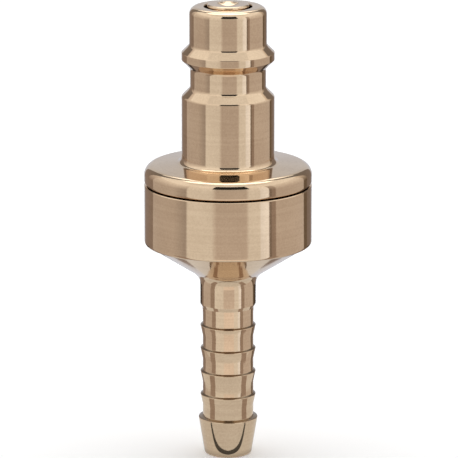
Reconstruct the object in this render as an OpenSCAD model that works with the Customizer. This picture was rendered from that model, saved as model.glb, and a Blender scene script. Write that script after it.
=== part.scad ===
// Valved plug of an air quick coupling: a turned brass nose with a spring-loaded
// poppet, screwed into a round cup that ends in a hose barb.
// Millimetres. The axis is +Z and the origin is the centre of the barb's end face.

/* [Hose barb] */
// Diameter of the air bore
air_bore_d = 4.2; // [3.4:0.1:4.6]
// Diameter between the ribs
barb_root_d = 6.6; // [6.2:0.1:7]
// Diameter over the small ribs
barb_rib_d = 7.2; // [7.1:0.1:7.8]
// Diameter over the end rib
end_rib_d = 7.7; // [7.5:0.1:8.4]
// Diameter of the end face
barb_end_d = 6.1; // [5.6:0.1:6.6]
// Height of the end rib above the end face
end_rib_h = 4.9; // [3.5:0.1:7]
// Number of small ribs
rib_count = 4; // [2:1:7]
// Distance from rib to rib
rib_pitch = 3.1; // [2.5:0.1:4]
// Length of each rib's taper
rib_taper = 1.4; // [1:0.1:2]
// Height of each rib's sloped shoulder
rib_shoulder = 0.2; // [0.1:0.01:0.3]
// Rounding of each rib's edge
rib_round = 0.1; // [0.04:0.01:0.12]
// Rounding of the barb's end
barb_end_round = 0.35; // [0.1:0.05:0.5]
// Diameter of the plain shank above the ribs
shank_d = 7.2; // [7:0.1:7.8]
// Length of the plain shank
shank_len = 2.5; // [2:0.1:6]
// Distance from the top rib up to the shank
shank_gap = 2.9; // [2.2:0.1:4]
// Length of the taper from the shank to the root diameter
shank_taper = 1.2; // [0.8:0.1:1.8]
// Depth of the chamfer on the shank's lower edge
shank_chamfer = 0.25; // [0.1:0.05:0.3]
// Length of the chamfer on the shank's lower edge
shank_chamfer_len = 0.5; // [0.2:0.05:0.6]

/* [Neck and cup] */
// Radius of the fillet between the shank and the neck's cone
neck_fillet = 2.1; // [1:0.1:3]
// Slope of the neck's cone
neck_angle = 33; // [28:1:42]
// Diameter at which the neck's cone meets the flat underside
neck_top_d = 20.6; // [17:0.1:20.7]
// Outer diameter of the collar
collar_d = 21.7; // [21.6:0.1:26]
// Height of the cup from its underside to the seam
cup_h = 7.85; // [7.4:0.05:12]
// Rounding of the cup's lower edge
cup_round = 0.45; // [0.1:0.05:0.5]
// Thickness of the cup's floor
cup_floor = 1.5; // [1.2:0.1:2]
// Major diameter of the thread between the cup and the nose
thread_d = 18; // [17.4:0.1:18.2]
// Diameter of the counterbore round the body seal
counterbore_d = 18.8; // [18.6:0.1:19]
// Depth of the counterbore round the body seal
counterbore_len = 1.6; // [1.5:0.1:2]
// Width of the funnel's mouth and of the bore above it
funnel_d = 13.2; // [12:0.1:14]
// Chamfer at the mouth of the air bore
mouth_chamfer = 0.2; // [0.05:0.05:0.3]

/* [Collar top] */
// Height of the collar's top above the seam, at the nose
cap_h = 3; // [2.6:0.05:4]
// Fall of the collar's top from the nose to the rim
cap_drop = 0.5; // [0.2:0.05:0.8]
// Rounding of the collar's upper edge
cap_round = 1.3; // [0.6:0.1:1.5]
// Rounding at the foot of the nose
foot_fillet = 0.8; // [0.1:0.05:1]
// Width of the visible seam
seam_gap = 0.15; // [0.1:0.05:0.4]
// Depth of the visible seam
seam_depth = 0.8; // [0.5:0.1:0.9]
// Rounding of the nose's edge above the seam
seam_round = 0.4; // [0.1:0.05:0.45]
// Chamfer of the cup's edge below the seam
seam_chamfer = 0.1; // [0.05:0.01:0.15]

/* [Nose] */
// Diameter of the nose's body and of its locking ring
nose_d = 12; // [11.6:0.1:12.6]
// Length of the nose's body above the collar
nose_body_len = 8.65; // [6:0.05:14]
// Rounding of the nose's edge at the locking groove
nose_round = 0.5; // [0.1:0.1:0.8]
// Diameter of the locking groove
groove_d = 9.8; // [9.6:0.1:10.2]
// Width of the locking groove at its edges
groove_len = 4.8; // [3.6:0.1:7]
// Rounding at the bottom of the locking groove
groove_fillet = 0.7; // [0.2:0.1:0.8]
// Width of the locking ring's land
ring_len = 0.95; // [0.6:0.05:2]
// Rounding between the locking ring and the tip
ring_fillet = 0.6; // [0.2:0.1:0.8]
// Diameter of the tip
tip_d = 10; // [9.8:0.1:10.4]
// Length of the tip above the locking ring's land
tip_len = 6; // [5:0.1:9]
// Rounding of the tip's edge
tip_round = 1; // [0.3:0.05:1.2]
// Edge break on the locking ring and on the hole in the tip
edge_round = 0.15; // [0.05:0.05:0.3]
// Diameter of the hole in the tip
tip_bore_d = 6.2; // [5.8:0.1:6.4]
// Length of the hole in the tip
tip_bore_len = 2.3; // [1.8:0.1:2.8]
// Radial clearance of the poppet's seal in the valve chamber
chamber_clear = 0.3; // [0.2:0.05:0.4]
// Length of the wide bore above the guide
wide_bore_len = 3.1; // [1:0.1:3.2]
// Chamfer that eases assembly on the thread, the hub, the pilot and the stem
lead = 0.4; // [0.2:0.05:0.5]

/* [Valve] */
// Diameter of the poppet's head
head_d = 5.4; // [5:0.1:5.6]
// Height of the head above the tip face
head_proud = 0.3; // [0:0.05:0.6]
// Diameter of the dish in the head
dish_d = 3; // [2:0.1:3.6]
// Depth of the dish in the head
dish_depth = 0.45; // [0.2:0.05:0.8]
// Rounding of the head's rim
head_round = 0.3; // [0.1:0.05:0.4]
// Cord diameter of the poppet's seal
poppet_seal_cord = 1.2; // [1:0.05:1.3]
// Mean diameter of the poppet's seal
poppet_seal_d = 6; // [5.8:0.05:6.1]
// Gap between the closed seal and its seat
seat_gap = 0.03; // [0.01:0.01:0.05]
// Radial clearance of the poppet's flange in the valve chamber
flange_clear = 0.4; // [0.3:0.05:0.5]
// Thickness of the poppet's flange
flange_h = 0.9; // [0.7:0.1:1.4]
// Diameter of the poppet's stem
stem_d = 3; // [2.4:0.1:3.2]
// Length of stem below the guide when the valve is closed
stem_over = 0.5; // [0.3:0.1:0.8]
// Travel of the poppet until its pilot stops on the guide's hub
poppet_travel = 3; // [2:0.1:3.2]
// Gap that is left above the hub at full travel
stop_gap = 0.1; // [0.05:0.05:0.3]
// Radial clearance of the stem in its guide
stem_clear = 0.05; // [0.03:0.01:0.08]
// Thickness of the guide's disc
guide_h = 1.4; // [1.2:0.1:1.8]
// Radial clearance of the hub and of the poppet's pilot inside the spring
pilot_clear = 0.3; // [0.2:0.05:0.5]
// Height of the hub above the guide's disc
hub_h = 2.5; // [1.5:0.1:4]
// Radial clearance of the guide's disc in the cup
guide_clear = 0.05; // [0.03:0.01:0.1]
// Number of air holes in the guide
air_hole_count = 6; // [4:1:8]
// Diameter of each air hole
air_hole_d = 2.2; // [1.6:0.1:2.4]
// Diameter of the circle of air holes
air_hole_circle_d = 10.4; // [9.8:0.1:10.6]
// Wire diameter of the spring
wire_d = 0.6; // [0.4:0.05:0.7]
// Radial clearance of the spring in the valve chamber
spring_clear = 0.5; // [0.4:0.05:0.6]
// Number of turns of the spring
spring_turns = 11; // [8:1:14]
// Gap between the spring's top and the flange
spring_gap = 0.05; // [0.03:0.01:0.1]
// Cord diameter of the body seal
body_seal_cord = 1.4; // [1.2:0.05:1.5]
// Gap between a seal and the walls of its groove
seal_gap = 0.02; // [0.01:0.01:0.04]

/* [Hidden] */
$fn = 96;

BRASS = [0.80, 0.66, 0.48];
STEEL = [0.72, 0.73, 0.75];
RUBBER = [0.10, 0.10, 0.11];

// Slope of the locking ring's flanks, the valve seat and the inner cones
flank = 45;
// Largest angle between the points of an arc
arc_step = 10;
// How far a hole's cut runs past both faces
overcut = 1;
// Facets of the spring
wire_sides = 6;
rings_per_turn = 16;
// Closed turns at each end of the spring, and the gap between them
closed_turns = 1;
closed_gap = 0.03;
closed_pitch = wire_d + closed_gap;

// Heights of the barb, from its end face up
shank_z = end_rib_h + rib_count * rib_pitch + shank_gap;
shank_top_z = shank_z + shank_len;

// The neck's fillet touches the shank at shank_top_z and the cone at neck_touch
neck_centre = [shank_d / 2 + neck_fillet, shank_top_z];
neck_touch = neck_centre + neck_fillet * [-sin(neck_angle), cos(neck_angle)];
cup_z = neck_touch[1] + (neck_top_d / 2 - neck_touch[0]) * tan(neck_angle);

// Heights of the collar and the nose
floor_z = cup_z + cup_floor;
guide_top_z = floor_z + guide_h;
seam_z = cup_z + cup_h;
nose_z = seam_z + cap_h;
groove_z = nose_z + nose_body_len;
ring_z = groove_z + groove_len;
ring_top_z = ring_z + ring_len;
tip_z = ring_top_z + tip_len;

// Diameters in the valve chamber, which is as wide as the poppet's seal needs
chamber_d = poppet_seal_d + poppet_seal_cord + 2 * chamber_clear;
flange_d = chamber_d - 2 * flange_clear;
spring_d = chamber_d - 2 * spring_clear - wire_d;
pilot_d = spring_d - wire_d - 2 * pilot_clear;

// The valve seat is a cone below the hole in the tip
seat_top_z = tip_z - tip_bore_len;
seat_bottom_z = seat_top_z - (chamber_d - tip_bore_d) / 2;
poppet_seal_z = seat_top_z + tip_bore_d / 2 - poppet_seal_d / 2
    - (poppet_seal_cord / 2 + seat_gap) * sqrt(2);
seal_groove_half = poppet_seal_cord / 2 + seal_gap;
flange_top_z = poppet_seal_z - seal_groove_half;
flange_z = flange_top_z - flange_h;
stem_z = floor_z - stem_over;
pilot_z = guide_top_z + hub_h + poppet_travel + stop_gap;

// The body seal lies in a groove at the top of the nose's thread
body_seal_z = seam_z - counterbore_len / 2;
body_seal_r = counterbore_d / 2 - seal_gap - body_seal_cord / 2;
seal_floor_r = body_seal_r - body_seal_cord / 2 - seal_gap;

// The spring stands on the guide and ends below the poppet's flange
spring_z = guide_top_z + wire_d / 2 + seal_gap;
spring_top_z = flange_z - wire_d / 2 - spring_gap;

function unit(v) = v / norm(v);

function turned_by(v, angle) = [v[0] * cos(angle) - v[1] * sin(angle), v[0] * sin(angle) + v[1] * cos(angle)];
function corner_angle(a, corner, b) = acos(unit(a - corner) * unit(b - corner));

// Points of the arc of radius r that rounds a corner between the points a and b
function arc(a, corner, b, r) =
    let (
        opening = corner_angle(a, corner, b),
        centre = corner + unit(unit(a - corner) + unit(b - corner)) * r / sin(opening / 2),
        start = corner + unit(a - corner) * r / tan(opening / 2) - centre,
        sweep = (180 - opening) * sign(cross(corner - a, b - corner)),
        steps = ceil(abs(sweep) / arc_step)
    )
    [for (i = [0:steps]) centre + turned_by(start, sweep * i / steps)];

// An outline of points [radius, height, rounding], with arcs at the corners that have a rounding
function rounded(points) =
    let (count = len(points))
    [
        for (i = [0:count - 1]) each
            let (before = points[(i + count - 1) % count], here = points[i], after = points[(i + 1) % count])
            len(here) < 3
            ? [here]
            : arc([before[0], before[1]], [here[0], here[1]], [after[0], after[1]], here[2])
    ];

module turned(points) {
    rotate_extrude() polygon(rounded(points));
}

// The nose, its locking groove and ring, and the threaded spigot below the seam
module plug_body() {
    tip_r = tip_d / 2;
    nose_r = nose_d / 2;
    groove_r = groove_d / 2;
    chamber_r = chamber_d / 2;
    rim_z = nose_z - cap_drop;
    spigot_r = thread_d / 2;
    mouth_r = funnel_d / 2;
    seam_r = collar_d / 2 - seam_depth;
    color(BRASS)
    turned([
        // the spigot, from the guide up to the seam
        [mouth_r, guide_top_z],
        [spigot_r - lead, guide_top_z],
        [spigot_r, guide_top_z + lead],
        [spigot_r, seam_z - counterbore_len],
        [seal_floor_r, seam_z - counterbore_len],
        [seal_floor_r, seam_z],
        [seam_r, seam_z],
        [seam_r, seam_z + seam_gap],
        // the collar's top half
        [collar_d / 2, seam_z + seam_gap, seam_round],
        [collar_d / 2, rim_z, cap_round],
        [nose_r, nose_z, foot_fillet],
        // the nose, its groove, its ring and its tip
        [nose_r, groove_z, nose_round],
        [groove_r, groove_z + (nose_r - groove_r) / tan(flank), groove_fillet],
        [groove_r, ring_z - (nose_r - groove_r) / tan(flank), groove_fillet],
        [nose_r, ring_z, edge_round],
        [nose_r, ring_top_z, edge_round],
        [tip_r, ring_top_z + (nose_r - tip_r) / tan(flank), ring_fillet],
        [tip_r, tip_z, tip_round],
        // the hole in the tip, the seat and the valve chamber
        [tip_bore_d / 2, tip_z, edge_round],
        [tip_bore_d / 2, seat_top_z],
        [chamber_r, seat_bottom_z],
        [chamber_r, guide_top_z + wide_bore_len + (mouth_r - chamber_r) / tan(flank)],
        [mouth_r, guide_top_z + wide_bore_len]
    ]);
}

// The cup, the neck and the hose barb, turned in one piece
module barb_body() {
    collar_r = collar_d / 2;
    bore_r = air_bore_d / 2;
    root_r = barb_root_d / 2;
    shank_r = shank_d / 2;
    ribs = [for (i = [1:rib_count]) end_rib_h + i * rib_pitch];
    color(BRASS)
    turned([
        [bore_r + mouth_chamfer, 0],
        // the end rib and its long taper
        [barb_end_d / 2, 0, barb_end_round],
        [end_rib_d / 2, end_rib_h, rib_round],
        [root_r, end_rib_h + rib_shoulder],
        // the small ribs, each a taper with a sloped shoulder above it
        for (z = ribs) each [
            [root_r, z - rib_taper],
            [barb_rib_d / 2, z, rib_round],
            [root_r, z + rib_shoulder]
        ],
        [root_r, shank_z - shank_taper],
        [shank_r - shank_chamfer, shank_z - shank_chamfer_len],
        [shank_r, shank_z],
        // the neck, a fillet into a cone
        [shank_r, shank_top_z + neck_fillet * tan((90 - neck_angle) / 2), neck_fillet],
        [neck_top_d / 2, cup_z],
        // the cup
        [collar_r, cup_z, cup_round],
        [collar_r, seam_z - seam_chamfer],
        [collar_r - seam_chamfer, seam_z],
        [counterbore_d / 2, seam_z],
        [counterbore_d / 2, seam_z - counterbore_len],
        [thread_d / 2 + guide_clear, seam_z - counterbore_len],
        [thread_d / 2 + guide_clear, floor_z],
        // the funnel and the air bore
        [funnel_d / 2, floor_z],
        [bore_r, floor_z - (funnel_d / 2 - bore_r) / tan(flank)],
        [bore_r, mouth_chamfer]
    ]);
}

module o_ring(mean_r, cord, z) {
    color(RUBBER)
    rotate_extrude() translate([mean_r, z]) circle(r = cord / 2, $fn = 32);
}

// The ring that seals the thread
module body_seal() {
    o_ring(body_seal_r, body_seal_cord, body_seal_z);
}

// The ring that closes the valve against its seat
module poppet_seal() {
    o_ring(poppet_seal_d / 2, poppet_seal_cord, poppet_seal_z);
}

// The disc clamped between the two turned pieces, with a hub for the stem and air holes
module valve_guide() {
    stem_hole_r = stem_d / 2 + stem_clear;
    hub_r = pilot_d / 2;
    color(BRASS)
    difference() {
        turned([
            [stem_hole_r, floor_z],
            [thread_d / 2, floor_z],
            [thread_d / 2, guide_top_z],
            [hub_r, guide_top_z],
            [hub_r, guide_top_z + hub_h - lead],
            [hub_r - lead, guide_top_z + hub_h],
            [stem_hole_r, guide_top_z + hub_h]
        ]);
        for (i = [0:air_hole_count - 1])
            rotate(i * 360 / air_hole_count)
                translate([air_hole_circle_d / 2, 0, floor_z - overcut])
                    cylinder(d = air_hole_d, h = guide_h + 2 * overcut, $fn = 32);
    }
}

// The poppet: dished head, groove for its seal, flange and pilot for the spring, and guided stem
module poppet() {
    head_r = head_d / 2;
    stem_r = stem_d / 2;
    head_z = tip_z + head_proud;
    groove_r = poppet_seal_d / 2 - poppet_seal_cord / 2 - seal_gap;
    dish_r = (pow(dish_d / 2, 2) + pow(dish_depth, 2)) / (2 * dish_depth);
    color(BRASS)
    rotate_extrude() difference() {
        polygon(rounded([
            [0, stem_z],
            [stem_r - lead, stem_z],
            [stem_r, stem_z + lead],
            [stem_r, pilot_z],
            [pilot_d / 2 - lead, pilot_z],
            [pilot_d / 2, pilot_z + lead],
            [pilot_d / 2, flange_z],
            [flange_d / 2, flange_z],
            [flange_d / 2, flange_top_z],
            [groove_r, flange_top_z],
            [groove_r, poppet_seal_z + seal_groove_half],
            [head_r, poppet_seal_z + seal_groove_half],
            [head_r, head_z, head_round],
            [0, head_z]
        ]));
        translate([0, head_z - dish_depth + dish_r]) circle(r = dish_r);
    }
}

// Height of the spring's wire after a number of turns, with closed turns at both ends
function wire_z(turn) =
    let (
        closed_h = closed_turns * closed_pitch,
        open_turns = spring_turns - 2 * closed_turns,
        open_pitch = (spring_top_z - spring_z - 2 * closed_h) / open_turns
    )
    turn < closed_turns ? spring_z + turn * closed_pitch
    : turn > spring_turns - closed_turns ? spring_top_z - (spring_turns - turn) * closed_pitch
    : spring_z + closed_h + (turn - closed_turns) * open_pitch;

// One point of the wire's surface
function wire_point(turn, side) =
    let (
        around = turn * 360,
        across = side * 360 / wire_sides,
        r = spring_d / 2 + wire_d / 2 * cos(across)
    )
    [r * cos(around), r * sin(around), wire_z(turn) + wire_d / 2 * sin(across)];

module valve_spring() {
    steps = spring_turns * rings_per_turn;
    function id(i, k) = i * wire_sides + (k % wire_sides);
    points = [
        for (i = [0:steps], k = [0:wire_sides - 1]) wire_point(i / rings_per_turn, k)
    ];
    walls = [
        for (i = [0:steps - 1], k = [0:wire_sides - 1])
            [id(i, k), id(i, k + 1), id(i + 1, k + 1), id(i + 1, k)]
    ];
    first_end = [for (k = [wire_sides - 1:-1:0]) id(0, k)];
    last_end = [for (k = [0:wire_sides - 1]) id(steps, k)];
    color(STEEL) polyhedron(points = points, faces = concat(walls, [first_end, last_end]), convexity = 10);
}

plug_body();
barb_body();
body_seal();
valve_guide();
valve_spring();
poppet();
poppet_seal();
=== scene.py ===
"""Looks of a valved quick-coupling plug: turned brass, standing on a pale floor in a soft studio."""
import math
from collections import namedtuple

import bmesh
import bpy
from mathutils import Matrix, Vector

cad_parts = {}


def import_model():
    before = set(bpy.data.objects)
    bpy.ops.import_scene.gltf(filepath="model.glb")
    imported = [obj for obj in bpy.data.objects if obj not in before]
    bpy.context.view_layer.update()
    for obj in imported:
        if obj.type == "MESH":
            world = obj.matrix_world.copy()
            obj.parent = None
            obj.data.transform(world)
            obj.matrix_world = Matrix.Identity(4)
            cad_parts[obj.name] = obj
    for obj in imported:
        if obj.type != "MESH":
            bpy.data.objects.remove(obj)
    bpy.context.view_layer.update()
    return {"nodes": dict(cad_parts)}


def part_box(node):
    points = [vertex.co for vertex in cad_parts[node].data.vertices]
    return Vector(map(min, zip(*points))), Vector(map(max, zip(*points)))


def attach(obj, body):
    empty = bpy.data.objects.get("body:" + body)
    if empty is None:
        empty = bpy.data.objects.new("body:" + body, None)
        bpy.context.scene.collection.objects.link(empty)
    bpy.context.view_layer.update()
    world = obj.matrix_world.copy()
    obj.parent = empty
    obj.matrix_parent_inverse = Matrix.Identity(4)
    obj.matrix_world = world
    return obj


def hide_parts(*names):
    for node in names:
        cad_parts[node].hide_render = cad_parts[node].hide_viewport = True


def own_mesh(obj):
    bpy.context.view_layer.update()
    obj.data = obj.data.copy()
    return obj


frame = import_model()

# Lengths are in metres. Angles are in degrees, apart from the two that math.radians turns here.

# Camera, with its sensor and lens in millimetres
CAMERA_DISTANCE = 0.6
CAMERA_ELEVATION = 13.85
CAMERA_AIM = Vector((0.00012, 0.0, 0.03002))
CAMERA_REACH = 10
SENSOR_WIDTH = 36.0
FOCAL_LENGTH = 363.9

# Turned pieces: sides round the axis, and the distance below which two points are one
AROUND = 256
WELD = 1e-7
# A corner that turns less is straight, and one that turns more is an edge and gets a small radius
STRAIGHT = math.radians(1)
SHARP = math.radians(15)
EDGE_RADIUS = 0.00005
EDGE_STEPS = 4
# The most of a side that an edge's radius takes
EDGE_SHARE = 0.4
# A side so many times as long as its neighbour gives their corner its normal
LONG_SIDE = 3

# Spring: its turns, how many of them are closed at each end, its wire, and the gap between closed turns
SPRING_TURNS = 11
SPRING_CLOSED_TURNS = 1
SPRING_WIRE = 0.0006
SPRING_CLOSED_GAP = 0.00003
SPRING_STEPS = 40
SPRING_SIDES = 12

# Brass: its two tones, its least and most roughness, and how its highlights are stretched
BRASS = (0.82, 0.63, 0.435, 1)
DEEP_BRASS = (0.73, 0.55, 0.375, 1)
BRASS_ROUGHNESS = (0.068, 0.092)
ANISOTROPY = 0.5
ANISOTROPY_TURN = 0.25

# Noises: patches and grain in space, and the turning tool's marks in rings
Noise = namedtuple("Noise", "scale detail roughness")
PATCHES = Noise(260.0, 3.0, 0.5)
GRAIN = Noise(3600.0, 2.0, 0.6)
Marks = namedtuple("Marks", "wavelength detail")
FINE_MARKS = Marks(0.00012, 2.0)
BROAD_MARKS = Marks(0.0006, 3.0)
MARKS_ROUGHNESS = 0.6
# How fast the marks run along the radius, against the height
MARKS_ALONG_RADIUS = 0.83
# The depth of the marks, and the fine marks' share in it
MARKS_DEPTH = 0.0000004
FINE_DEPTH_SHARE = 0.4
# The noises' shares in the brass's tone, and the band of their sum that runs from deep to bright
PATCHES_SHARE = 0.4
BROAD_SHARE = 0.25
GRAIN_SHARE = 0.35
TONE_BAND = (0.41, 0.59)
# The band in which most of one noise lies
NOISE_BAND = (0.3, 0.7)

# Painted shade on the brass, in the seam and on the ribs' shoulders: its dark colour, and the roughness
# where it is strongest
PAINTED_SHADE = (0.06, 0.03, 0.01, 1)
PAINTED_SHADE_ROUGHNESS = 0.4

# Seam between the halves of the collar: its gap, the depths between which shade is painted inside it, and
# the share of the gap that is painted to either side of its middle
SEAM_GAP = 0.00015
SEAM_EDGE = 0.0003
SEAM_DEPTH = 0.0009
SEAM_REACH = 0.6

# Shoulders of the barb's ribs: the height below which they lie, the upward part of their normals with its
# spread, and how much painted shade they get
RIBS_TOP = 0.018
SHOULDER_UP = 0.8
SHOULDER_SPREAD = 0.15
SHOULDER_SHADE = 0.66

# Materials whose tone, roughness and bump all follow one noise
Grained = namedtuple("Grained", "dark bright noise strength depth roughness metallic")
SPRING_STEEL = Grained(
    dark=(0.42, 0.43, 0.45, 1), bright=(0.58, 0.59, 0.60, 1), noise=Noise(1500.0, 3.0, 0.5),
    strength=0.3, depth=0.00001, roughness=(0.22, 0.36), metallic=1.0,
)
SEAL_RUBBER = Grained(
    dark=(0.010, 0.010, 0.011, 1), bright=(0.022, 0.022, 0.024, 1), noise=Noise(4000.0, 2.0, 0.5),
    strength=0.4, depth=0.00002, roughness=(0.5, 0.65), metallic=0.0,
)
# The places of the two colours and of the result on a Mix node
MIX_FIRST = 6
MIX_SECOND = 7
MIX_RESULT = 2

# Floor, lamp and the light from all round
FLOOR_SIZE = 4.0
FLOOR_COLOUR = (0.9, 0.9, 0.9, 1)
FLOOR_FILL = 0.12
AMBIENT = 0.45
LAMP_HEIGHT = 0.5
LAMP_WIDTH = 1.0
LAMP_DEPTH = 0.65
LAMP_BACK = 0.17
LAMP_LEVEL = 1.6

# Cards: the height of those on the floor and of those on top of them, the distance of the wall, the
# elevation of its top and the share of a tint that is left there
CARD_HEIGHT = 0.0002
UPPER_CARD_HEIGHT = 2 * CARD_HEIGHT
CARD_WALL = 0.4
WALL_TOP = 38
TOP_TINT = 0.3
DEGREES_PER_STEP = 4

# Tints of the cards: shares of the level in red, green and blue
GOLD = (1.18, 0.97, 0.87)
AMBER = (1.25, 0.97, 0.72)
WARM = (1.07, 0.985, 0.95)
COOL = (0.96, 1.0, 1.08)
BLUE = (0.97, 1.02, 1.15)
PLAIN = (1.0, 1.0, 1.0)

# The tones that reflections see all round the object, blended from stop to stop. Azimuths are round the
# axis from the camera's side. Each stop has its level on the floor close to the object, its level farther
# out and at the foot of the wall, and its level at the wall's top.
Stop = namedtuple("Stop", "azimuth near level top tint")
STOPS = [
    Stop(-180.0, 0.70, 0.62, 0.62, BLUE),
    Stop(-158.5, 0.70, 0.62, 0.62, BLUE),
    Stop(-158.0, 0.24, 0.24, 0.20, GOLD),
    Stop(-137.0, 0.24, 0.24, 0.20, GOLD),
    Stop(-136.0, 0.24, 0.24, 0.75, GOLD),
    Stop(-122.5, 0.24, 0.24, 0.85, GOLD),
    Stop(-122.0, 0.52, 0.50, 0.90, WARM),
    Stop(-78.0, 0.52, 0.50, 0.90, WARM),
    Stop(-58.0, 0.40, 0.37, 0.90, WARM),
    Stop(-55.5, 0.80, 0.80, 0.95, PLAIN),
    Stop(-22.0, 0.82, 0.77, 0.90, PLAIN),
    Stop(-15.0, 0.83, 0.51, 0.52, WARM),
    Stop(24.0, 0.83, 0.51, 0.52, WARM),
    Stop(28.0, 0.82, 0.79, 0.90, PLAIN),
    Stop(43.0, 0.82, 0.80, 0.95, PLAIN),
    Stop(44.0, 0.90, 0.96, 1.00, COOL),
    Stop(56.0, 1.00, 1.10, 1.10, COOL),
    Stop(56.5, 0.20, 0.20, 0.60, GOLD),
    Stop(60.0, 0.20, 0.20, 0.60, GOLD),
    Stop(60.5, 0.30, 0.28, 0.60, GOLD),
    Stop(66.5, 0.30, 0.28, 0.60, GOLD),
    Stop(67.0, 0.55, 0.535, 0.90, WARM),
    Stop(124.0, 0.55, 0.535, 0.90, WARM),
    Stop(124.5, 0.13, 0.13, 0.85, AMBER),
    Stop(135.0, 0.13, 0.13, 0.75, AMBER),
    Stop(135.5, 0.22, 0.20, 0.20, GOLD),
    Stop(158.0, 0.22, 0.20, 0.20, GOLD),
    Stop(158.5, 0.70, 0.62, 0.62, BLUE),
    Stop(180.0, 0.70, 0.62, 0.62, BLUE),
]
# Radii on the floor, with the share of the near level that holds there
FLOOR_SHARES = [(0.027, 0.8), (0.043, 1.0), (0.066, 1.0), (0.084, 0.27), (0.14, 0.1), (0.17, 0.0)]
# The floor under the object and close round it, with a painted contact shadow that only reflections see:
# azimuths, and radii with their levels
ALL_ROUND = (-180, 180)
NEAR_FLOOR_SHADOW = [(0.0, 0.4), (0.003, 0.4), (0.004, 0.62), (0.012, 0.66), (0.027, 0.7)]

# Cards on a dome, between two azimuths and two elevations: a black one over the camera, bright ones
# overhead and high behind, and dark ones beside the last
Card = namedtuple("Card", "name start end low high level")
DOME_CARDS = [
    Card("over_camera", -22, 30, 24, 55, 0.02),
    Card("overhead", -90, 90, 55, 90, 0.85),
    Card("high_rear", 160, 200, 38, 80, 2.0),
    Card("left_shade", -152, -136, 33, 60, 0.2),
    Card("right_shade", 136, 152, 33, 60, 0.2),
]
# Dark cards on the floor, between two azimuths and two radii
FLOOR_CARDS = [
    Card("left_near_flag", -84, -58, 0.0125, 0.03, 0.3),
    Card("right_near_flag", 60, 86, 0.0125, 0.03, 0.3),
    Card("left_flag", -77, -57, 0.03, 0.1, 0.3),
    Card("right_flag", 55, 71, 0.03, 0.1, 0.3),
    Card("left_line", -180, -137, 0.07, 0.1, 0.06),
    Card("right_line", 134, 180, 0.07, 0.1, 0.06),
]
# A dark bent line on the floor in front of the axis: half its length, its distance from the axis at its
# ends and at its middle, and its width
FRONT_LINE_END = 0.0095
FRONT_LINE_FAR = 0.0045
FRONT_LINE_NEAR = 0.0032
FRONT_LINE_WIDTH = 0.0009
FRONT_LINE_LEVEL = 0.08
# A bright curved strip overhead, which draws the thin highlights on the round edges. It runs from side to
# side and bends backwards. Its reach, front edge and width are shares of its height.
STRIP_HEIGHT = 0.3
STRIP_REACH = 0.5
STRIP_FRONT = -0.1
STRIP_WIDTH = 0.34
STRIP_STEPS = 12
STRIP_LEVEL = 2.5


# Shapes

def half_section(node):
    """The outline of a turned CAD node in the half plane of +X and +Z, and whether it is closed. The points
    (radius, height) are in order. A node that reaches the axis has an open outline."""
    cut = bmesh.new()
    cut.from_mesh(frame["nodes"][node].data)
    bmesh.ops.remove_doubles(cut, verts=cut.verts, dist=WELD)
    parts = cut.verts[:] + cut.edges[:] + cut.faces[:]
    bmesh.ops.bisect_plane(cut, geom=parts, dist=WELD, plane_co=(0, 0, 0), plane_no=(0, 1, 0))
    bmesh.ops.remove_doubles(cut, verts=cut.verts, dist=WELD)

    def on_plane(vert):
        return abs(vert.co.y) <= WELD and vert.co.x >= -WELD

    links = {v: [] for v in cut.verts if on_plane(v)}
    for edge in cut.edges:
        a, b = edge.verts
        if a in links and b in links:
            links[a].append(b)
            links[b].append(a)
    ends = [v for v, linked in links.items() if len(linked) == 1]
    first = ends[0] if ends else next(v for v, linked in links.items() if len(linked) == 2)
    path, before, here = [first], None, first
    while True:
        ahead = [v for v in links[here] if v is not before]
        if not ahead or ahead[0] is first:
            break
        before, here = here, ahead[0]
        path.append(here)
    outline = [Vector((max(v.co.x, 0.0), v.co.z)) for v in path]
    cut.free()
    return outline, not ends


def turn(before, here, after):
    """The signed angle by which an outline turns at a point."""
    a, b = here - before, after - here
    return math.atan2(a.x * b.y - a.y * b.x, a.dot(b))


def without_straight_points(outline, closed):
    """The outline with its corners and open ends alone."""
    count = len(outline)
    return [
        p for i, p in enumerate(outline)
        if (not closed and i in (0, count - 1))
        or abs(turn(outline[i - 1], p, outline[(i + 1) % count])) > STRAIGHT
    ]


def side_normal(a, b):
    """The outward normal of a side of an anticlockwise outline."""
    along = (b - a).normalized()
    return Vector((along.y, -along.x))


def eased(outline, closed):
    """The outline with a small radius on each sharp corner, as (point, outward normal) pairs.
    The points of the CAD arcs stay, with normals that follow the arc."""
    count = len(outline)
    rows = []
    for i, here in enumerate(outline):
        if not closed and i in (0, count - 1):
            side = side_normal(*(outline[:2] if i == 0 else outline[-2:]))
            rows.append((here, side))
            continue
        before, after = outline[i - 1], outline[(i + 1) % count]
        angle = turn(before, here, after)
        length_before, length_after = (here - before).length, (after - here).length
        first, last = side_normal(before, here), side_normal(here, after)
        if abs(angle) < SHARP:
            if length_before > LONG_SIDE * length_after:
                normal = first
            elif length_after > LONG_SIDE * length_before:
                normal = last
            else:
                normal = (first + last).normalized()
            rows.append((here, normal))
            continue
        slope = math.tan(abs(angle) / 2)
        setback = min(EDGE_RADIUS * slope, EDGE_SHARE * length_before, EDGE_SHARE * length_after)
        radius = setback / slope
        bulge = 1 if angle > 0 else -1
        start = here - (here - before).normalized() * setback
        centre = start - first * radius * bulge
        for k in range(EDGE_STEPS + 1):
            turned = math.atan2(first.y, first.x) + angle * k / EDGE_STEPS
            normal = Vector((math.cos(turned), math.sin(turned)))
            rows.append((centre + normal * radius * bulge, normal))
    return rows


def add_object(name, mesh):
    piece = bpy.data.objects.new(name, mesh)
    bpy.context.scene.collection.objects.link(piece)
    return piece


def mesh_of(made, name):
    """The mesh of a finished bmesh, which is freed."""
    mesh = bpy.data.meshes.new(name)
    made.to_mesh(mesh)
    made.free()
    return mesh


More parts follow.
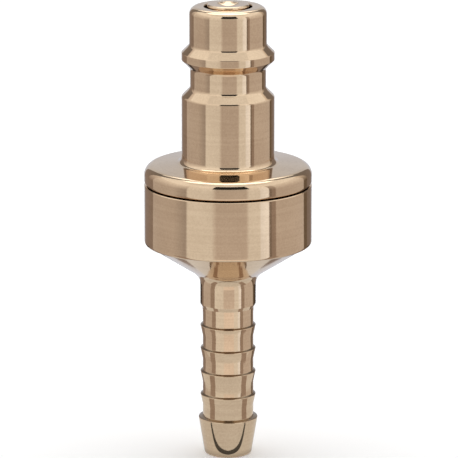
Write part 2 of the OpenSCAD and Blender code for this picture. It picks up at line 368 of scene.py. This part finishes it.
def lathe(name, node):
    """A smooth turned piece with the outline of a CAD node."""
    outline, closed = half_section(node)
    outline = without_straight_points(outline, closed)
    loop = outline if closed else outline + [Vector((0, outline[-1].y))]
    area = sum(a.x * b.y - b.x * a.y for a, b in zip(loop, loop[1:] + loop[:1]))
    if area < 0:
        outline.reverse()

    made = bmesh.new()
    normals = []
    rings = []
    for point, normal in eased(outline, closed):
        on_axis = point.x < WELD
        ring = []
        for k in range(1 if on_axis else AROUND):
            angle = 2 * math.pi * k / AROUND
            cosine, sine = math.cos(angle), math.sin(angle)
            ring.append(made.verts.new((point.x * cosine, point.x * sine, point.y)))
            across = (0, 0) if on_axis else (normal.x * cosine, normal.x * sine)
            normals.append((*across, normal.y))
        rings.append(ring)
    pairs = list(zip(rings, rings[1:])) + ([(rings[-1], rings[0])] if closed else [])
    for low, high in pairs:
        for k in range(AROUND):
            corners = [
                low[k % len(low)], low[(k + 1) % len(low)],
                high[(k + 1) % len(high)], high[k % len(high)],
            ]
            made.faces.new(list(dict.fromkeys(corners)))
    mesh = mesh_of(made, name)
    mesh.shade_smooth()
    mesh.normals_split_custom_set_from_vertices([Vector(n).normalized() for n in normals])
    return add_object(name, mesh)


def spring(name, node):
    """A coil spring with closed ends that fills a CAD node's box."""
    low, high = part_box(node)
    wire = SPRING_WIRE / 2
    mean = high.x - wire
    bottom, top = low.z + wire, high.z - wire
    closed_rise = SPRING_CLOSED_TURNS * (SPRING_WIRE + SPRING_CLOSED_GAP)
    open_turns = SPRING_TURNS - 2 * SPRING_CLOSED_TURNS

    def height(turns):
        if turns < SPRING_CLOSED_TURNS:
            return bottom + closed_rise * turns / SPRING_CLOSED_TURNS
        if turns > SPRING_TURNS - SPRING_CLOSED_TURNS:
            return top - closed_rise * (SPRING_TURNS - turns) / SPRING_CLOSED_TURNS
        share = (turns - SPRING_CLOSED_TURNS) / open_turns
        return bottom + closed_rise + share * (top - bottom - 2 * closed_rise)

    made = bmesh.new()
    rings = []
    for i in range(SPRING_TURNS * SPRING_STEPS + 1):
        turns = i / SPRING_STEPS
        around = 2 * math.pi * turns
        ring = []
        for k in range(SPRING_SIDES):
            across = 2 * math.pi * k / SPRING_SIDES
            r = mean + wire * math.cos(across)
            z = height(turns) + wire * math.sin(across)
            ring.append(made.verts.new((r * math.cos(around), r * math.sin(around), z)))
        rings.append(ring)
    for low_ring, high_ring in zip(rings, rings[1:]):
        for k in range(SPRING_SIDES):
            beside = (k + 1) % SPRING_SIDES
            made.faces.new((low_ring[k], high_ring[k], high_ring[beside], low_ring[beside]))
    made.faces.new(rings[0])
    made.faces.new(rings[-1][::-1])
    bmesh.ops.recalc_face_normals(made, faces=made.faces)
    mesh = mesh_of(made, name)
    mesh.shade_smooth()
    return add_object(name, mesh)


# Materials

class Nodes:
    """Short calls that add shader nodes to one tree."""

    def __init__(self, tree):
        self.tree = tree
        tree.nodes.clear()

    def add(self, kind, settings=None, **inputs):
        made = self.tree.nodes.new("ShaderNode" + kind)
        for name, value in (settings or {}).items():
            setattr(made, name, value)
        for name, value in inputs.items():
            self.put(made.inputs[name.replace("_", " ")], value)
        return made

    def put(self, socket, value):
        if isinstance(value, bpy.types.NodeSocket):
            self.tree.links.new(value, socket)
        else:
            socket.default_value = value

    def math(self, operation, a, b=0.0):
        made = self.add("Math", {"operation": operation})
        self.put(made.inputs[0], a)
        self.put(made.inputs[1], b)
        return made.outputs[0]

    def spread(self, value, low, high, out_low, out_high):
        """A value from one band, spread over another."""
        made = self.add("MapRange")
        for name, v in (("Value", value), ("From Min", low), ("From Max", high),
                        ("To Min", out_low), ("To Max", out_high)):
            self.put(made.inputs[name], v)
        return made.outputs["Result"]

    def mix(self, factor, first, second):
        """A colour between two."""
        made = self.add("Mix", {"data_type": "RGBA"}, Factor=factor)
        self.put(made.inputs[MIX_FIRST], first)
        self.put(made.inputs[MIX_SECOND], second)
        return made.outputs[MIX_RESULT]

    def noise(self, noise):
        """Noise in the object's own space."""
        place = self.add("TexCoord").outputs["Object"]
        made = self.add(
            "TexNoise", Vector=place, Scale=noise.scale, Detail=noise.detail, Roughness=noise.roughness,
        )
        return made.outputs["Fac"]


def new_material(name):
    material = bpy.data.materials.new(name)
    material.use_nodes = True
    return material, Nodes(material.node_tree)


def radius_and_height(nodes):
    """The distance from the Z axis and the height above the floor."""
    place = nodes.add("TexCoord").outputs["Object"]
    axes = nodes.add("SeparateXYZ", Vector=place).outputs
    squares = [nodes.math("MULTIPLY", axes[k], axes[k]) for k in (0, 1)]
    return nodes.math("SQRT", nodes.math("ADD", *squares)), axes[2]


def within(nodes, value, middle, reach):
    """1 where a value is within reach of a middle one."""
    apart = nodes.math("ABSOLUTE", nodes.math("SUBTRACT", value, middle))
    return nodes.math("LESS_THAN", apart, reach)


def inside_seam(nodes):
    """1 inside the seam between the two halves of the collar, where shade is painted."""
    radius, height = radius_and_height(nodes)
    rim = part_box("barb_body")[1]
    outer, inner = rim.x - SEAM_EDGE, rim.x - SEAM_DEPTH
    return nodes.math(
        "MULTIPLY",
        within(nodes, radius, (outer + inner) / 2, (outer - inner) / 2),
        within(nodes, height, rim.z + SEAM_GAP / 2, SEAM_GAP * SEAM_REACH),
    )


def rib_shoulders(nodes):
    """1 on the upward shoulders of the barb's ribs, where shade is painted."""
    height = radius_and_height(nodes)[1]
    up = nodes.add("SeparateXYZ", Vector=nodes.add("NewGeometry").outputs["Normal"]).outputs[2]
    low = nodes.math("LESS_THAN", height, RIBS_TOP)
    return nodes.math("MULTIPLY", low, within(nodes, up, SHOULDER_UP, SHOULDER_SPREAD))


def turning_marks(nodes, marks):
    """Noise in rings round the Z axis, as a tool leaves them. It runs along the radius and the height."""
    radius, height = radius_and_height(nodes)
    along = nodes.math("ADD", nodes.math("MULTIPLY", radius, MARKS_ALONG_RADIUS), height)
    noise = nodes.add(
        "TexNoise", {"noise_dimensions": "1D"},
        Scale=1.0, Detail=marks.detail, Roughness=MARKS_ROUGHNESS,
    )
    nodes.put(noise.inputs["W"], nodes.math("DIVIDE", along, marks.wavelength))
    return noise.outputs["Fac"]


def weighted_sum(nodes, first, *others):
    """The sum of (value, share) pairs."""
    total = nodes.math("MULTIPLY", *first)
    for value, share in others:
        total = nodes.math("ADD", total, nodes.math("MULTIPLY", value, share))
    return total


def turned_brass():
    """Bright turned metal: fine rings from the tool, slight changes of tone, and a grain round the axis.
    The inside of the seam has painted shade, dark and rougher than the rest, and the shoulders of the
    barb's ribs have a lighter painted shade."""
    material, nodes = new_material("turned_brass")
    fine = turning_marks(nodes, FINE_MARKS)
    broad = turning_marks(nodes, BROAD_MARKS)
    patches, grain = nodes.noise(PATCHES), nodes.noise(GRAIN)
    tone = weighted_sum(nodes, (patches, PATCHES_SHARE), (broad, BROAD_SHARE), (grain, GRAIN_SHARE))
    clean = nodes.mix(nodes.spread(tone, *TONE_BAND, 0.0, 1.0), DEEP_BRASS, BRASS)
    # Painted shade: dark brass inside the seam and, less of it, on the ribs' shoulders
    painted_shade = nodes.math("MULTIPLY", rib_shoulders(nodes), SHOULDER_SHADE)
    painted_shade = nodes.math("MAXIMUM", painted_shade, inside_seam(nodes))
    shine = nodes.spread(fine, *NOISE_BAND, *BRASS_ROUGHNESS)
    shine = nodes.math("MAXIMUM", shine, nodes.math("MULTIPLY", painted_shade, PAINTED_SHADE_ROUGHNESS))
    heights = nodes.math("ADD", nodes.math("MULTIPLY", fine, FINE_DEPTH_SHARE), broad)
    bump = nodes.add("Bump", Height=heights, Strength=1.0, Distance=MARKS_DEPTH)
    tangent = nodes.add("Tangent", {"direction_type": "RADIAL", "axis": "Z"})
    shader = nodes.add(
        "BsdfPrincipled", Base_Color=nodes.mix(painted_shade, clean, PAINTED_SHADE), Metallic=1.0, Roughness=shine,
        Anisotropic=ANISOTROPY, Anisotropic_Rotation=ANISOTROPY_TURN,
        Normal=bump.outputs["Normal"], Tangent=tangent.outputs["Tangent"],
    )
    nodes.add("OutputMaterial", Surface=shader.outputs["BSDF"])
    return material


def grained(name, look):
    """A material whose tone, roughness and bump all follow one noise."""
    material, nodes = new_material(name)
    noise = nodes.noise(look.noise)
    bump = nodes.add("Bump", Height=noise, Strength=look.strength, Distance=look.depth)
    shader = nodes.add(
        "BsdfPrincipled", Base_Color=nodes.mix(noise, look.dark, look.bright), Metallic=look.metallic,
        Roughness=nodes.spread(noise, *NOISE_BAND, *look.roughness), Normal=bump.outputs["Normal"],
    )
    nodes.add("OutputMaterial", Surface=shader.outputs["BSDF"])
    return material


def make_card_material():
    """Light of the colour that a card's corners carry."""
    material, nodes = new_material("studio_card")
    shade = nodes.add("Attribute", {"attribute_name": "level"})
    emission = nodes.add("Emission", Color=shade.outputs["Color"], Strength=1.0)
    nodes.add("OutputMaterial", Surface=emission.outputs["Emission"])
    return material


def give(piece, material):
    piece.data.materials.clear()
    piece.data.materials.append(material)


# Object

brass = turned_brass()
steel = grained("drawn_spring_steel", SPRING_STEEL)
rubber = grained("black_seal_rubber", SEAL_RUBBER)

for node, name, body in (
    ("plug_body", "turned_plug_body", "housing"),
    ("barb_body", "turned_barb_body", "housing"),
    ("poppet", "turned_poppet", "poppet"),
):
    piece = lathe(name, node)
    give(piece, brass)
    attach(piece, body)
    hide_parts(node)

coil = spring("wound_valve_spring", "valve_spring")
give(coil, steel)
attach(coil, "housing")
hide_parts("valve_spring")
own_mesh(coil)

give(frame["nodes"]["valve_guide"], brass)
give(frame["nodes"]["body_seal"], rubber)
give(frame["nodes"]["poppet_seal"], rubber)


# Studio

card_material = make_card_material()


def card_sheet(name, columns):
    """A sheet that only reflections see, from columns of (place, colour)."""
    made = bmesh.new()
    shade = made.verts.layers.float_color.new("level")
    rows = []
    for column in columns:
        row = []
        for place, colour in column:
            vert = made.verts.new(place)
            vert[shade] = (*colour, 1)
            row.append(vert)
        rows.append(row)
    for a, b in zip(rows, rows[1:]):
        for i in range(len(a) - 1):
            made.faces.new((a[i], b[i], b[i + 1], a[i + 1]))
    sheet = add_object("card_" + name, mesh_of(made, "card_" + name))
    sheet.data.materials.append(card_material)
    sheet.visible_camera = False
    sheet.visible_diffuse = False
    sheet.visible_shadow = False
    sheet.visible_transmission = False


def at(azimuth, radius, height):
    """A place by azimuth, radius and height. The azimuth grows from the camera's side to the right."""
    angle = math.radians(azimuth)
    return radius * math.sin(angle), -radius * math.cos(angle), height


def degrees_between(start, end):
    """Angles from start to end in even steps."""
    steps = max(1, math.ceil((end - start) / DEGREES_PER_STEP))
    return [start + (end - start) * k / steps for k in range(steps + 1)]


def blend(first, second, share):
    """The numbers that lie a share of the way from one row of numbers to another."""
    return [p + share * (q - p) for p, q in zip(first, second)]


def surround():
    """The sheet all round the object, on the floor and up the wall."""
    wall_height = CARD_WALL * math.tan(math.radians(WALL_TOP))
    columns = []
    for a, b in zip(STOPS, STOPS[1:]):
        for azimuth in degrees_between(a.azimuth, b.azimuth):
            share = (azimuth - a.azimuth) / (b.azimuth - a.azimuth)
            near, level, top = blend((a.near, a.level, a.top), (b.near, b.level, b.top), share)
            tint = blend(a.tint, b.tint, share)
            path = [(r, CARD_HEIGHT, level + s * (near - level)) for r, s in FLOOR_SHARES]
            path.append((CARD_WALL, CARD_HEIGHT, level))
            column = [(at(azimuth, r, h), [v * t for t in tint]) for r, h, v in path]
            top_colour = [top * (1 + TOP_TINT * (t - 1)) for t in tint]
            column.append((at(azimuth, CARD_WALL, wall_height), top_colour))
            columns.append(column)
    card_sheet("ring", columns)


def dome_card(card):
    columns = []
    for azimuth in degrees_between(card.start, card.end):
        column = []
        for elevation in degrees_between(card.low, card.high):
            rise = math.radians(elevation)
            place = at(azimuth, CARD_WALL * math.cos(rise), CARD_WALL * math.sin(rise) + CAMERA_AIM.z)
            column.append((place, [card.level] * 3))
        columns.append(column)
    card_sheet(card.name, columns)


def floor_card(name, start, end, path, height, tint):
    """A card on the floor between two azimuths, with (radius, level) pairs outwards."""
    columns = [
        [(at(azimuth, radius, height), [level * t for t in tint]) for radius, level in path]
        for azimuth in degrees_between(start, end)
    ]
    card_sheet(name, columns)


def front_line():
    colour = [FRONT_LINE_LEVEL] * 3
    columns = []
    for share in (-1, 0, 1):
        y = FRONT_LINE_NEAR + abs(share) * (FRONT_LINE_FAR - FRONT_LINE_NEAR)
        x = share * FRONT_LINE_END
        columns.append([((x, -d, UPPER_CARD_HEIGHT), colour) for d in (y, y + FRONT_LINE_WIDTH)])
    card_sheet("front_line", columns)


def strip_light():
    columns = []
    for k in range(-STRIP_STEPS, STRIP_STEPS + 1):
        x = STRIP_REACH * k / STRIP_STEPS
        front = STRIP_FRONT + x * x
        columns.append([
            ((x * STRIP_HEIGHT, y * STRIP_HEIGHT, STRIP_HEIGHT + CAMERA_AIM.z), [STRIP_LEVEL] * 3)
            for y in (front, front + STRIP_WIDTH)
        ])
    card_sheet("strip_light", columns)


def seen_rays(nodes):
    """1 for rays from the camera and for those that metal or glass sends on."""
    path = nodes.add("LightPath").outputs
    seen = nodes.math("MAXIMUM", path["Is Camera Ray"], path["Is Glossy Ray"])
    return nodes.math("MAXIMUM", seen, path["Is Transmission Ray"])


def floor():
    """A pale floor that keeps the object's soft shadow."""
    half = FLOOR_SIZE / 2
    mesh = bpy.data.meshes.new("floor")
    corners = [(-half, -half, 0), (half, -half, 0), (half, half, 0), (-half, half, 0)]
    mesh.from_pydata(corners, [], [(0, 1, 2, 3)])
    plane = add_object("floor", mesh)
    material, nodes = new_material("pale_floor")
    diffuse = nodes.add("BsdfDiffuse", Color=FLOOR_COLOUR)
    fill = nodes.add("Emission", Strength=nodes.math("MULTIPLY", seen_rays(nodes), FLOOR_FILL))
    both = nodes.add("AddShader")
    nodes.put(both.inputs[0], diffuse.outputs["BSDF"])
    nodes.put(both.inputs[1], fill.outputs["Emission"])
    nodes.add("OutputMaterial", Surface=both.outputs["Shader"])
    plane.data.materials.append(material)


def world():
    """White where it is seen, also in metal, and grey as a light."""
    sky = bpy.data.worlds.new("studio")
    sky.use_nodes = True
    nodes = Nodes(sky.node_tree)
    strength = nodes.spread(seen_rays(nodes), 0.0, 1.0, AMBIENT, 1.0)
    background = nodes.add("Background", Color=(1, 1, 1, 1), Strength=strength)
    nodes.add("OutputWorld", Surface=background.outputs["Background"])
    bpy.context.scene.world = sky


def lamp():
    """One large soft lamp overhead, which metal doesn't mirror."""
    data = bpy.data.lights.new("overhead", "AREA")
    data.shape = "RECTANGLE"
    data.size, data.size_y = LAMP_WIDTH, LAMP_DEPTH
    data.energy = LAMP_LEVEL * math.pi * LAMP_WIDTH * LAMP_DEPTH
    light = bpy.data.objects.new("overhead", data)
    light.location = (0, LAMP_BACK, LAMP_HEIGHT)
    light.visible_glossy = False
    bpy.context.scene.collection.objects.link(light)


def camera():
    data = bpy.data.cameras.new("camera")
    data.lens = FOCAL_LENGTH
    data.sensor_width = SENSOR_WIDTH
    data.clip_end = CAMERA_REACH
    made = bpy.data.objects.new("camera", data)
    tilt = math.radians(CAMERA_ELEVATION)
    made.location = CAMERA_AIM + CAMERA_DISTANCE * Vector((0, -math.cos(tilt), math.sin(tilt)))
    made.rotation_euler = (math.pi / 2 - tilt, 0, 0)
    bpy.context.scene.collection.objects.link(made)
    bpy.context.scene.camera = made


surround()
front_line()
strip_light()
# A dark disc round the object's foot: painted shadow that only reflections see
floor_card("near_floor_shadow", *ALL_ROUND, NEAR_FLOOR_SHADOW, CARD_HEIGHT, PLAIN)
for card in DOME_CARDS:
    dome_card(card)
for card in FLOOR_CARDS:
    path = [(card.low, card.level), (card.high, card.level)]
    floor_card(card.name, card.start, card.end, path, UPPER_CARD_HEIGHT, GOLD)
floor()
world()
lamp()
camera()
bpy.context.scene.view_settings.view_transform = "Standard"
